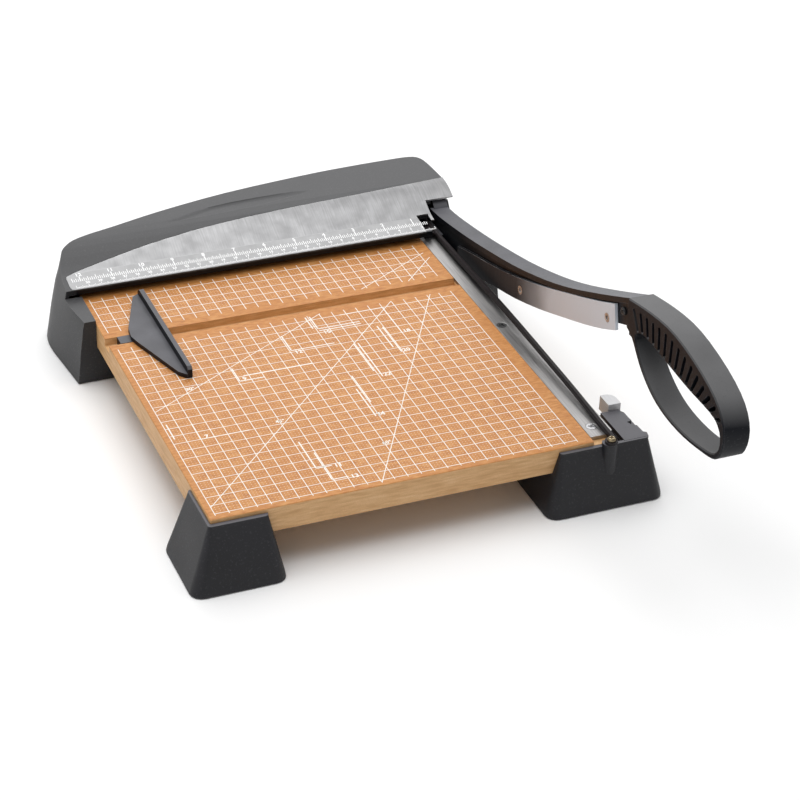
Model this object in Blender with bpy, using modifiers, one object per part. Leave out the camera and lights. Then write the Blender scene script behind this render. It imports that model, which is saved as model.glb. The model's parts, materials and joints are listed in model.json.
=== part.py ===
"""Guillotine paper trimmer: a wooden board with a steel bed knife, a swinging blade arm with a loop
handle, a rear housing with a ruler plate, two moulded front feet and a sliding paper guide.

Lengths are written in millimetres in the board's own frame: +X runs along the ruler to the cutting
side, +Y to the rear housing, +Z up, and z = 0 is the top of the board. ORIGIN moves that frame so
that the bottom centre of the whole trimmer is at the world origin.
"""
import math

import bmesh
import bpy
from mathutils import Matrix, Vector

MM = 0.001
ORIGIN = Vector((-153.62, 163.175, 50.0))
GAP = 0.3

# Board
BOARD_X = (-5.0, 299.6)
BOARD_Y = (-306.0, 62.0)
BOARD_THICK = 20.0
BOARD_CLIP = (17.0, 11.2)
GROOVE_Y = (-66.5, -55.5)
GROOVE_DEPTH = 6.0
KNIFE_X = (281.2, 300.0)
KNIFE_Y = (-299.8, 44.0)
KNIFE_THICK = 2.7

# Height of the floor under the board, and of the moulded rims above it
FLOOR_Z = -50.0
RIM_Z = -49.2
BOSS_Z = -48.5

# Blade arm
PIVOT = Vector((309.0, 50.0, 0.0))
HUB_RADIUS = 18.0
WEB_X = (303.0, 309.2)
FLANGE_X = (300.35, 315.0)
FLANGE_THICK = 4.4
BLADE_X = (300.35, 302.7)
ARM_END_Y = -303.0
FLANGE_TOP = [(40.0, 11.8), (22.0, 13.3), (0.0, 16.7), (-33.0, 22.6), (-70.0, 30.3), (-119.0, 41.8),
              (-158.0, 53.0), (-190.0, 63.5), (-220.0, 75.0), (-248.0, 87.0), (-276.0, 99.5),
              (ARM_END_Y, 112.0)]
WEB_BOTTOM = [(ARM_END_Y, 89.0), (-282.0, 80.5), (-240.0, 62.5), (-200.0, 47.0), (-150.0, 29.5),
              (-100.0, 13.5), (-60.0, 3.0), (-20.0, -6.0), (20.0, -13.0), (45.0, -16.0)]
BLADE_BOTTOM = [(-287.0, 77.3), (-267.8, 68.0), (-240.1, 56.4), (-204.0, 42.8), (-166.2, 29.0),
                (-126.5, 16.4), (-97.3, 9.0), (-74.0, 2.7), (-45.0, -4.5), (-18.0, -10.0)]
BLADE_TOP = [(-18.0, 6.0), (-45.8, 13.4), (-88.9, 24.0), (-129.9, 36.3), (-168.9, 50.0),
             (-200.2, 62.2), (-236.6, 76.6), (-262.5, 87.3), (-282.5, 96.4)]
BLADE_SCREWS = [("blade_screw_front", -273.0, 80.0), ("blade_screw_middle", -134.3, 27.8)]

# Loop handle: each pair is a point of the outside and the facing point of the finger opening
HANDLE_X = (299.0, 319.0)
LOOP = [((-303.5, 112.3), (-319.0, 92.5)), ((-318.0, 115.2), (-326.0, 95.8)),
        ((-336.0, 118.2), (-341.0, 96.0)), ((-359.0, 120.3), (-360.0, 94.2)),
        ((-382.0, 118.5), (-378.0, 92.5)), ((-408.0, 112.5), (-398.0, 91.2)),
        ((-427.0, 105.0), (-415.0, 91.0)), ((-438.5, 96.0), (-429.0, 89.8)),
        ((-443.8, 85.0), (-437.0, 84.6)), ((-443.0, 73.0), (-439.2, 76.5)),
        ((-438.5, 64.5), (-436.8, 69.0)), ((-431.0, 60.0), (-430.0, 64.0)),
        ((-419.0, 57.3), (-418.6, 61.0)), ((-402.0, 54.5), (-401.8, 58.0)),
        ((-385.0, 53.3), (-385.0, 56.8)), ((-369.0, 54.0), (-369.4, 57.4)),
        ((-355.0, 56.5), (-356.2, 59.8)), ((-344.0, 60.5), (-345.6, 63.6)),
        ((-334.0, 66.0), (-335.8, 68.8)), ((-326.0, 72.0), (-328.4, 74.6)),
        ((-319.0, 79.0), (-322.4, 81.0)), ((-312.0, 86.0), (-318.4, 86.8)),
        ((-303.5, 89.5), (-317.4, 90.0))]
GRIP_SLOTS = 15
GRIP_SLOT_WIDTH = 3.4
GRIP_SPAN = (4.0, 126.0)
GRIP_SLOT_DEPTH = 6.0

# Rear housing: outline at the deck and at the floor, from the front left corner round the back
DECK_OUTLINE = [(-10.5, -33.0), (-15.0, 0.0), (-12.5, 30.0), (-9.8, 43.5), (-4.0, 51.0), (8.0, 58.0),
                (38.0, 66.5), (81.0, 79.5), (141.0, 93.0), (209.0, 102.0), (249.0, 105.2),
                (290.0, 106.6), (308.0, 106.0), (315.2, 101.6), (318.0, 90.0), (319.3, 62.0),
                (320.0, 40.0), (320.5, 0.0), (321.0, -33.0)]
FLOOR_OUTLINE = [(-21.0, -33.5), (-24.0, -4.0), (-26.5, 20.0), (-26.0, 39.0), (-20.0, 56.0),
                 (-4.0, 67.0), (28.0, 78.0), (76.0, 91.0), (139.0, 104.0), (208.0, 113.5),
                 (249.0, 116.2), (290.0, 117.6), (312.0, 116.8), (325.0, 111.5), (330.5, 99.0),
                 (332.0, 70.0), (333.0, 40.0), (333.5, 0.0), (333.0, -33.5)]
FLARE = [(RIM_Z, 0.0), (-20.0, 0.30), (0.0, 0.56), (10.0, 0.75), (20.0, 0.92), (28.0, 1.0)]
CHEEK_Z = 3.5
DECK_PROFILE = [(6.0, 10.0), (26.0, 13.0), (32.0, 15.8), (40.0, 20.2), (47.0, 23.6), (54.0, 25.6),
                (62.0, 26.5), (140.0, 26.5)]
HOUSING_WALL = 3.0
ROOF = 4.2
PLATE_THICK = 1.2
PLATE_EDGE = [(-4.0, 27.0), (26.0, 34.0), (70.0, 42.0), (120.0, 48.5), (173.0, 53.0), (226.0, 56.0),
              (280.0, 59.5), (320.2, 62.0)]
OPENING_X = 295.5
OPENING_Y = 39.7
NOTCH = (283.0, 293.0, 28.0)
FENCE_END = 289.6

# Guard rail beside the cutting edge
GUARD_X = (292.4, 296.2)
GUARD_Z = (0.4, 4.0)
GUARD_BOW = [(-311.6, 0.0), (-290.0, 0.2), (-245.0, 2.2), (-200.0, 3.0), (-150.0, 3.7), (-100.0, 3.6),
             (-50.0, 2.4), (0.0, 1.6), (42.4, 1.6)]
GUARD_TAB = (284.3, 293.4, 12.4, 24.0, 4.4)
GUARD_PAD = (4.6, 2.4)

# Front feet: outline at the rim of the board and at the floor as x0, x1, y0, y1, corner radius
LEFT_FOOT = ((-7.4, 35.5, -309.7, -262.7, 2.5), (-24.0, 45.0, -325.0, -257.0, 9.0))
RIGHT_FOOT = ((253.6, 323.2, -309.5, -267.5, 2.5), (241.5, 334.0, -322.5, -255.0, 9.0))
FOOT_TOP = -3.0
FOOT_FLARE = [(RIM_Z, 0.0), (-45.5, 0.05), (-32.0, 0.36), (-16.0, 0.72), (-5.0, 0.97), (FOOT_TOP, 1.0)]
FOOT_WALL = 3.0
SHELF_Z = -24.0

# Latch behind the right foot: sides of the tab, and the pin's y and z
LATCH_X = (311.2, 321.2)
LATCH_PIN = (-265.6, -19.0)
LATCH_Y = (-268.1, -254.0)
LATCH_TOP = 1.6
LATCH_SKIRT = -10.0
LATCH_THICK = 1.5

# Paper guide
GUIDE_OUTLINE = [(36.6, -4.0), (31.5, -7.0), (14.6, -52.0), (13.0, -64.0), (15.0, -73.0),
                 (31.0, -124.0), (35.0, -129.0), (36.6, -130.0)]
GUIDE_FENCE = (36.4, 40.0, -4.0, -130.0)

COLLECTION = "paper_trimmer"
SEGMENTS = 24


def clear_scene():
    for item in list(bpy.data.objects):
        bpy.data.objects.remove(item, do_unlink=True)


def new_collection(name, helper=False):
    collection = bpy.data.collections.new(name)
    bpy.context.scene.collection.children.link(collection)
    collection.hide_render = helper
    return collection


def material(name, colour, roughness, metallic=0.0):
    made = bpy.data.materials.new(name)
    made.use_nodes = True
    shader = made.node_tree.nodes["Principled BSDF"]
    shader.inputs["Base Color"].default_value = (*colour, 1.0)
    shader.inputs["Roughness"].default_value = roughness
    shader.inputs["Metallic"].default_value = metallic
    made.diffuse_color = (*colour, 1.0)
    return made


def place(name, shape, at, look=None):
    """An object from a shape drawn in board millimetres, with its origin at the point `at`."""
    at = Vector(at)
    bmesh.ops.remove_doubles(shape, verts=shape.verts, dist=0.01)
    bmesh.ops.recalc_face_normals(shape, faces=shape.faces)
    for vert in shape.verts:
        vert.co = (vert.co - at) * MM
    mesh = bpy.data.meshes.new(name)
    shape.to_mesh(mesh)
    shape.free()
    made = bpy.data.objects.new(name, mesh)
    made.location = (at + ORIGIN) * MM
    if look is None:
        HELPERS.objects.link(made)
        made.hide_render = True
        made.display_type = "WIRE"
    else:
        PARTS.objects.link(made)
        mesh.materials.append(look)
    return made


def combine(target, shape, operation):
    """Adds a Boolean that cuts `shape` from `target` or joins it on."""
    helper = place(f"{target.name}.{operation.lower()}{len(target.modifiers)}", shape, (0, 0, 0))
    step = target.modifiers.new(helper.name, "BOOLEAN")
    step.operation = operation
    step.solver = "EXACT"
    step.object = helper
    return helper


def cut(target, *shapes):
    for shape in shapes:
        combine(target, shape, "DIFFERENCE")


def join(target, *shapes):
    for shape in shapes:
        combine(target, shape, "UNION")


def loft(rings):
    """A closed skin over rings of equal length, capped at both ends."""
    shape = bmesh.new()
    rows = [[shape.verts.new(point) for point in ring] for ring in rings]
    for lower, upper in zip(rows, rows[1:]):
        for i in range(len(lower)):
            j = (i + 1) % len(lower)
            shape.faces.new((lower[i], lower[j], upper[j], upper[i]))
    shape.faces.new(rows[0][::-1])
    shape.faces.new(rows[-1])
    return shape


def group(shapes):
    """Several separate shapes as one."""
    whole = bmesh.new()
    for shape in shapes:
        copies = {vert: whole.verts.new(vert.co) for vert in shape.verts}
        for face in shape.faces:
            whole.faces.new([copies[vert] for vert in face.verts])
        shape.free()
    return whole


def block(x0, x1, y0, y1, z0, z1):
    corners = [(x0, y0), (x1, y0), (x1, y1), (x0, y1)]
    return loft([[(x, y, z) for x, y in corners] for z in (z0, z1)])


def prism_z(outline, z0, z1):
    return loft([[(x, y, z) for x, y in outline] for z in (z0, z1)])


def prism_x(outline, x0, x1):
    return loft([[(x, y, z) for y, z in outline] for x in (x0, x1)])


def smooth(points, steps, closed=False):
    """Catmull-Rom curve through the points."""
    count = len(points)
    result = []
    for i in range(count if closed else count - 1):
        if closed:
            around = [points[(i + k) % count] for k in (-1, 0, 1, 2)]
        else:
            around = [points[min(max(i + k, 0), count - 1)] for k in (-1, 0, 1, 2)]
        a, b, c, d = (Vector(p) for p in around)
        for step in range(steps):
            t = step / steps
            curve = 2 * b + (c - a) * t + (2 * a - 5 * b + 4 * c - d) * t**2
            curve += (3 * b - a - 3 * c + d) * t**3
            result.append(tuple(curve / 2))
    if not closed:
        result.append(tuple(points[-1]))
    return result


def turned(profile, centre, along, segments=SEGMENTS):
    """A body of revolution from (radius, height) pairs, standing at `centre` and pointing `along`."""
    shape = bmesh.new()
    rings = []
    for radius, height in profile:
        if radius == 0:
            rings.append([shape.verts.new((0, 0, height))])
            continue
        angles = [2 * math.pi * i / segments for i in range(segments)]
        points = [(radius * math.cos(a), radius * math.sin(a), height) for a in angles]
        rings.append([shape.verts.new(point) for point in points])
    for lower, upper in zip(rings, rings[1:]):
        for i in range(segments):
            j = (i + 1) % segments
            corners = [lower[i % len(lower)], lower[j % len(lower)]]
            corners += [upper[j % len(upper)], upper[i % len(upper)]]
            corners = list(dict.fromkeys(corners))
            if len(corners) > 2:
                shape.faces.new(corners)
    if profile[0] != profile[-1]:
        for ring in (rings[0][::-1], rings[-1]):
            if len(ring) > 2:
                shape.faces.new(ring)
    turn = Vector((0, 0, 1)).rotation_difference(Vector(along)).to_matrix().to_4x4()
    bmesh.ops.transform(shape, matrix=Matrix.Translation(Vector(centre)) @ turn, verts=shape.verts)
    return shape


def cylinder(radius, centre, along, length, segments=SEGMENTS):
    return turned([(radius, 0), (radius, length)], centre, along, segments)


def rounded_rect(x0, x1, y0, y1, radius, steps=5):
    points = []
    corners = [(x1 - radius, y1 - radius, 0), (x0 + radius, y1 - radius, 1),
               (x0 + radius, y0 + radius, 2), (x1 - radius, y0 + radius, 3)]
    for x, y, quarter in corners:
        for step in range(steps):
            angle = math.pi / 2 * (quarter + step / (steps - 1))
            points.append((x + radius * math.cos(angle), y + radius * math.sin(angle)))
    return points


def inset(outline, distance):
    """The closed outline, drawn anticlockwise, moved inwards."""
    result = []
    for i, point in enumerate(outline):
        before = Vector(outline[i - 1])
        after = Vector(outline[(i + 1) % len(outline)])
        here = Vector(point)
        first = (here - before).normalized()
        second = (after - here).normalized()
        normals = Vector((-first.y, first.x)), Vector((-second.y, second.x))
        middle = (normals[0] + normals[1]).normalized()
        reach = distance / max(middle.dot(normals[0]), 0.35)
        result.append(tuple(here + middle * reach))
    return result


def blend(lower, upper, amount):
    return [tuple(Vector(a).lerp(Vector(b), amount)) for a, b in zip(lower, upper)]


# Screws point down `along` from the seat at `centre`; `grow` makes the matching hole

def countersunk(centre, along, head, shank, length, grow=0.0):
    slope = head - shank
    profile = [(0, 0), (head + grow, 0), (shank + grow, slope + grow * 0.4), (shank + grow, length + grow)]
    profile.append((0, length + grow))
    if grow:
        profile = [(0, -5), (head + grow, -5)] + profile[1:]
    return turned(profile, centre, along, 16 if grow else 20)


def pan(centre, along, head, height, shank, length, grow=0.0):
    profile = [(0, -height - grow), (head * 0.7 + grow, -height - grow), (head + grow, -height * 0.45 - grow)]
    profile += [(head + grow, 0), (shank + grow, 0), (shank + grow, length + grow), (0, length + grow)]
    return turned(profile, centre, along, 16 if grow else 20)


def cross_recess(screw, centre, along, size, top, depth=1.1):
    """Cuts a cross into a screw head."""
    along = Vector(along)
    turn = Vector((0, 0, 1)).rotation_difference(along).to_matrix().to_4x4()
    long, short = size, size * 0.3
    points = [(short, long), (-short, long), (-short, short), (-long, short), (-long, -short),
              (-short, -short), (-short, -long), (short, -long), (short, -short), (long, -short),
              (long, short), (short, short)]
    shape = prism_z(points, top - 1.5, top + depth)
    move = Matrix.Translation(Vector(centre)) @ turn @ Matrix.Rotation(math.radians(30), 4, "Z")
    bmesh.ops.transform(shape, matrix=move, verts=shape.verts)
    cut(screw, shape)


DOWN, UP, RIGHT, LEFT = (0, 0, -1), (0, 0, 1), (1, 0, 0), (-1, 0, 0)
KNIFE_SCREWS = [("knife_screw_front", 288.0, -287.0), ("knife_screw_rear", 286.5, -135.0)]
FOOT_SCREWS = [("left_foot_screw_inner", 24.0, -276.0), ("left_foot_screw_outer", 24.0, -299.0),
               ("right_foot_screw_inner", 270.0, -276.0), ("right_foot_screw_outer", 274.0, -296.0)]
HOUSING_SCREWS = [("housing_screw_1", 40.0, -10.0), ("housing_screw_2", 240.0, -10.0),
                  ("housing_screw_3", 40.0, 40.0), ("housing_screw_4", 240.0, 40.0)]
PADS = [("pad_front_left", 2.0, -292.0), ("pad_front_right", 306.0, -288.0),
        ("pad_rear_left", -12.0, 40.0), ("pad_rear_right", 317.0, 97.0)]
GUARD_SCREW = (291.6, -311.6)
GUARD_RIVET = (288.2, 15.2)


def board_plan(y0, grow):
    """The board from above; its rear left corner is clipped to clear the housing's round corner."""
    x0, x1 = BOARD_X[0] - grow, BOARD_X[1] + grow
    y1 = BOARD_Y[1] + grow
    return [(x0, y0), (x1, y0), (x1, y1), (x0 + BOARD_CLIP[0], y1), (x0, y1 - BOARD_CLIP[1])]


def build_board():
    x1 = BOARD_X[1]
    y0, y1 = BOARD_Y
    board = place("board", prism_z(board_plan(y0, 0.0), -BOARD_THICK, 0), (0, 0, 0), LOOKS["wood"])
    edges = board.modifiers.new("soft_edges", "BEVEL")
    edges.width = 0.5 * MM
    edges.segments = 1
    cut(board, block(BOARD_X[0] - 5, KNIFE_X[0] - GAP, *GROOVE_Y, -GROOVE_DEPTH, 5))
    cut(board, block(KNIFE_X[0] - GAP, x1 + 5, y0 - 5, y1 + 5, -KNIFE_THICK - GAP, 5))
    for _, x, y in KNIFE_SCREWS:
        cut(board, cylinder(1.9, (x, y, 0), DOWN, 15, 16))
    cut(board, cylinder(1.6, (*GUARD_RIVET, 0), DOWN, 10, 16))
    for _, x, y in FOOT_SCREWS + HOUSING_SCREWS:
        cut(board, cylinder(1.9, (x, y, -BOARD_THICK - 3), UP, 15.2, 16))
    cut(board, block(x1 - 9, x1 + 5, 41.0, 59.0, -9.0, 9.0))


def build_bed_knife():
    x0, x1 = KNIFE_X
    y0, y1 = KNIFE_Y
    corner = 4.0
    outline = [(x0, y0), (x1 - corner, y0), (x1, y0 + corner), (x1, y1), (x0, y1)]
    knife = place("bed_knife", prism_z(outline, -KNIFE_THICK, 0), (0, 0, 0), LOOKS["steel"])
    for name, x, y in KNIFE_SCREWS:
        seat = (x, y, 0.0)
        cut(knife, countersunk(seat, DOWN, 4.0, 1.6, 14, GAP))
        screw = place(name, countersunk(seat, DOWN, 4.0, 1.6, 14), seat, LOOKS["screw"])
        cross_recess(screw, seat, DOWN, 2.3, 0.0)
    cut(knife, cylinder(1.6, (*GUARD_RIVET, 5), DOWN, 12, 16))
    cut(knife, block(x1 - 9, x1 + 5, 40.9, 50.0, -9.0, 9.0))


def build_guard():
    """Rail over the bed knife, bowed upwards so that sheets slide under it."""
    x0, x1 = GUARD_X
    z0, z1 = GUARD_Z
    chamfer = 0.8
    section = [(x0, z0), (x1, z0), (x1, z1 - chamfer), (x1 - chamfer, z1), (x0 + chamfer, z1),
               (x0, z1 - chamfer)]
    rail = loft([[(x, y, z + lift) for x, z in section] for y, lift in smooth(GUARD_BOW, 2)])
    guard = place("guard_rail", rail, (0, 0, 0), LOOKS["guard"])
    pad_radius, pad_top = GUARD_PAD
    tab_top = GUARD_TAB[4]
    join(guard, block(*GUARD_TAB[:4], z0, tab_top))
    join(guard, cylinder(pad_radius, (*GUARD_SCREW, z0), UP, pad_top - z0, 28))
    cut(guard, cylinder(3.6, (*GUARD_SCREW, pad_top), UP, 8, 20))
    cut(guard, cylinder(1.9, (*GUARD_SCREW, 10), DOWN, 20, 16))
    cut(guard, cylinder(1.6, (*GUARD_RIVET, 10), DOWN, 20, 16))
    seat = (*GUARD_SCREW, pad_top + GAP)
    screw = place("guard_screw", pan(seat, DOWN, 3.2, 2.0, 1.6, 14), seat, LOOKS["brass"])
    cross_recess(screw, seat, DOWN, 1.9, -2.0)
    seat = (*GUARD_RIVET, tab_top + GAP)
    place("guard_rivet", pan(seat, DOWN, 2.4, 1.2, 1.3, 12), seat, LOOKS["screw"])


def build_arm():
    top = smooth(FLANGE_TOP, 2)
    under = [(y, z - FLANGE_THICK) for y, z in reversed(top)]
    arm = place("cutter_arm", prism_x(top + under, *FLANGE_X), PIVOT, LOOKS["black"])
    web = [(y, z - 1.0) for y, z in top if y < 36] + smooth(WEB_BOTTOM, 2)
    join(arm, prism_x(web, *WEB_X))
    join(arm, cylinder(HUB_RADIUS, (WEB_X[0], PIVOT.y, PIVOT.z), RIGHT, FLANGE_X[1] - WEB_X[0], 48))
    join(arm, block(WEB_X[0], WEB_X[1], ARM_END_Y - 14, ARM_END_Y + 2, 98.0, 106.0))
    cut(arm, cylinder(5.3, (290, PIVOT.y, PIVOT.z), RIGHT, 40, 32))
    for _, y, z in BLADE_SCREWS:
        cut(arm, cylinder(1.9, (290, y, z), RIGHT, 40, 16))
    cut(arm, cylinder(1.9, (290, -292.3, 95.5), RIGHT, 40, 16))


def build_blade():
    outline = smooth(BLADE_BOTTOM, 2) + smooth(BLADE_TOP, 2)
    x0, x1 = BLADE_X
    blade = place("blade", prism_x(outline, x0, x1), PIVOT, LOOKS["steel"])
    grind = [(y, z + 3.2) for y, z in smooth(BLADE_BOTTOM, 2)]
    grind[0] = (grind[0][0] - 5, grind[0][1] - 2)
    grind[-1] = (grind[-1][0] + 5, grind[-1][1] - 1)
    lower = [(y, z - 3.0) for y, z in grind]
    rings = [[(x1 + 0.001, y, z) for y, z in grind], [(x1 - 2.0, y, z) for y, z in lower]]
    wedge = bmesh.new()
    near = [wedge.verts.new(point) for point in rings[0]]
    edge = [wedge.verts.new((x, y, z - 0.4)) for x, y, z in rings[1]]
    away = [wedge.verts.new((x1 + 4, y, z - 3)) for _, y, z in rings[0]]
    for i in range(len(near) - 1):
        wedge.faces.new((near[i], near[i + 1], edge[i + 1], edge[i]))
        wedge.faces.new((edge[i], edge[i + 1], away[i + 1], away[i]))
        wedge.faces.new((away[i], away[i + 1], near[i + 1], near[i]))
    wedge.faces.new((near[0], edge[0], away[0]))
    wedge.faces.new((near[-1], away[-1], edge[-1]))
    cut(blade, wedge)
    for name, y, z in BLADE_SCREWS:
        seat = (x0, y, z)
        cut(blade, countersunk(seat, RIGHT, 3.5, 1.6, 8, GAP))
        screw = place(name, countersunk(seat, RIGHT, 3.5, 1.6, 8.4), seat, LOOKS["screw"])
        cross_recess(screw, seat, RIGHT, 2.0, 0.0)


def loop_rings():
    """Outside and finger opening of the handle, matched point by point."""
    outer = smooth([pair[0] for pair in LOOP], 2)
    inner = smooth([pair[1] for pair in LOOP] + [LOOP[0][1]], 2)[: len(outer)]
    return outer, inner


def ring_body(outer, inner, x0, x1, chamfer):
    """A loop with an opening through it and chamfered sides."""
    shape = bmesh.new()
    skins = []
    for outline, away in ((outer, inset(outer, chamfer)), (inner, inset(inner, -chamfer))):
        levels = [(x0, away), (x0 + chamfer, outline), (x1 - chamfer, outline), (x1, away)]
        skins.append([[shape.verts.new((x, y, z)) for y, z in ring] for x, ring in levels])
    for rows in skins:
        for lower, upper in zip(rows, rows[1:]):
            for i in range(len(lower)):
                j = (i + 1) % len(lower)
                shape.faces.new((lower[i], lower[j], upper[j], upper[i]))
    for level in (0, -1):
        outside, inside = skins[0][level], skins[1][level]
        for i in range(len(outside)):
            j = (i + 1) % len(outside)
            shape.faces.new((outside[i], outside[j], inside[j], inside[i]))
    return shape


def grip_slot(index, side):
    """One of the narrow pockets that leave ribs on the side of the upper band."""
    outer, inner = loop_rings()
    centres = [(Vector(a) + Vector(b)) / 2 for a, b in zip(outer, inner)]
    travel = GRIP_SPAN[0] + (GRIP_SPAN[1] - GRIP_SPAN[0]) * index / (GRIP_SLOTS - 1)
    k = 0
    while travel > (centres[k + 1] - centres[k]).length:
        travel -= (centres[k + 1] - centres[k]).length
        k += 1
    share = travel / (centres[k + 1] - centres[k]).length
    top = Vector(outer[k]).lerp(Vector(outer[k + 1]), share)
    foot = Vector(inner[k]).lerp(Vector(inner[k + 1]), share)
    across = (top - foot).normalized()
    sideways = Vector((-across.y, across.x)) * GRIP_SLOT_WIDTH / 2
    high = top - across * min(6.5, (top - foot).length * 0.30)
    low = foot + across * 2.0
    tip = across * GRIP_SLOT_WIDTH * 0.4
    corners = [low - sideways, low - tip, low + sideways, high + sideways, high + tip, high - sideways]
    if side == "left":
        span = (HANDLE_X[0] - 3, HANDLE_X[0] + GRIP_SLOT_DEPTH)
    else:
        span = (HANDLE_X[1] - GRIP_SLOT_DEPTH, HANDLE_X[1] + 3)
    return prism_x([tuple(corner) for corner in corners], *span)


def build_handle():
    outer, inner = loop_rings()
    handle = place("handle", ring_body(outer, inner, *HANDLE_X, 0.9), PIVOT, LOOKS["handle"])
    join(handle, block(WEB_X[1] + 2 * GAP, FLANGE_X[1] - 0.5, -306.0, -286.0, 90.5, 98.8))
    join(handle, block(302.0, 316.0, -308.5, -303.4, 83.0, 92.0))
    cut(handle, block(WEB_X[0] - GAP, WEB_X[1] + GAP, ARM_END_Y - 14.5, ARM_END_Y + 5, 97.7, 106.3))
    for side in ("left", "right"):
        cut(handle, group([grip_slot(index, side) for index in range(GRIP_SLOTS)]))
    cut(handle, cylinder(1.9, (300, -292.3, 95.5), RIGHT, 13.0, 16))
    seat = (WEB_X[0] - GAP, -292.3, 95.5)
    screw = place("handle_screw", pan(seat, RIGHT, 3.0, 1.6, 1.6, 9.0), seat, LOOKS["screw_dark"])
    cross_recess(screw, seat, RIGHT, 1.8, -1.6)


def build_pivot():
    y, z = PIVOT.y, PIVOT.z
    x0, x1 = WEB_X[0], FLANGE_X[1]
    profile = [(0, 0), (4.2, 0), (5.0, 0.8), (5.0, 23.2), (9.0, 23.2), (9.0, 25.0), (7.5, 26.0), (0, 26.0)]
    bolt = turned(profile, (x0 - 10.2, y, z), RIGHT, 32)
    bolt = place("pivot_bolt", bolt, (x1, y, z), LOOKS["screw"])
    cut(bolt, block(x1 + 2.2, x1 + 8, y - 7, y + 7, z - 0.8, z + 0.8))
    bracket = block(300.3, 302.6, 16.0, 84.0, -19.0, 9.0)
    bracket = place("pivot_bracket", bracket, (301, y, z), LOOKS["black"])
    cut(bracket, block(290, 310, 10, 41, -1, 20), block(290, 310, 60, 90, -1, 20))
    cut(bracket, cylinder(5.3, (290, y, z), RIGHT, 20, 32))
    washer = turned([(5.3, 0), (11.0, 0), (11.0, 0.5), (5.3, 0.5), (5.3, 0)], (x1 + 0.2, y, z), RIGHT, 32)
    place("pivot_washer", washer, (x1, y, z), LOOKS["screw"])
    corners = [math.pi / 3 * (i + 0.5) for i in range(6)]
    nut = [(8.2 * math.cos(a) + y, 8.2 * math.sin(a) + z) for a in corners]
    nut = place("pivot_nut", prism_x(nut, 293.0, 299.4), (296, y, z), LOOKS["screw"])
    cut(nut, cylinder(5.25, (285, y, z), RIGHT, 20, 32))
    for name, sy in (("bracket_screw_front", 22.0), ("bracket_screw_rear", 58.0)):
        seat = (302.6, sy, -11.0)
        cut(bracket, countersunk(seat, LEFT, 3.2, 1.6, 14.0, GAP))
        screw = place(name, countersunk(seat, LEFT, 3.2, 1.6, 14.0), seat, LOOKS["screw"])
        cross_recess(screw, seat, LEFT, 1.8, 0.0)
        cut(bpy.data.objects["board"], cylinder(1.9, (305, sy, -11.0), LEFT, 17.0, 16))


def outline_at(amount, wall=0.0):
    deck = smooth(DECK_OUTLINE, 3)
    floor = smooth(FLOOR_OUTLINE, 3)
    ring = blend(floor, deck, amount)
    # The lists run clockwise seen from above, and inset() takes them the other way
    ring = inset(ring[::-1], wall) if wall else ring[::-1]
    return ring


def housing_loft(wall=0.0, z_low=RIM_Z):
    levels = [(z_low if i == 0 else z, amount) for i, (z, amount) in enumerate(FLARE)]
    return loft([[(x, y, z) for x, y in outline_at(amount, wall)] for z, amount in levels])


def above_profile(drop, front_z, front_y):
    """Everything above the deck profile, lowered by `drop`."""
    profile = [(y, z - drop) for y, z in DECK_PROFILE]
    outline = [(-70, front_z), (front_y, front_z)] + profile + [(140, 60), (-70, 60)]
    return prism_x(outline, -60, 360)


def plate_outline(grow):
    """Plan of the ruler plate, anticlockwise from its front left corner."""
    left, right, front = -12.8 - grow, 320.2 + grow, 6.6 - grow
    edge = [(x, y + grow) for x, y in reversed(smooth(PLATE_EDGE, 2))]
    edge[0] = (right, edge[0][1])
    corner = 3.0
    start = [(left + corner, front), (right, front)]
    finish = [(left + corner, 25.0 + grow), (left + 0.8, 23.8 + grow), (left, 21.0), (left, front + corner),
              (left + 0.8, front + 0.8)]
    return start + edge + finish


def plate_body(outline, low, high):
    """A sheet between the deck profile lowered by `low` and by `high`, trimmed to the outline."""
    under = [(y, z - low) for y, z in [(0.0, 9.1)] + DECK_PROFILE[1:-1] + [(80.0, 26.5)]]
    over = [(y, z - high) for y, z in reversed([(0.0, 9.1)] + DECK_PROFILE[1:-1] + [(80.0, 26.5)])]
    return prism_x(under + over, -40, 340), prism_z(outline, -5, 60)


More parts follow.
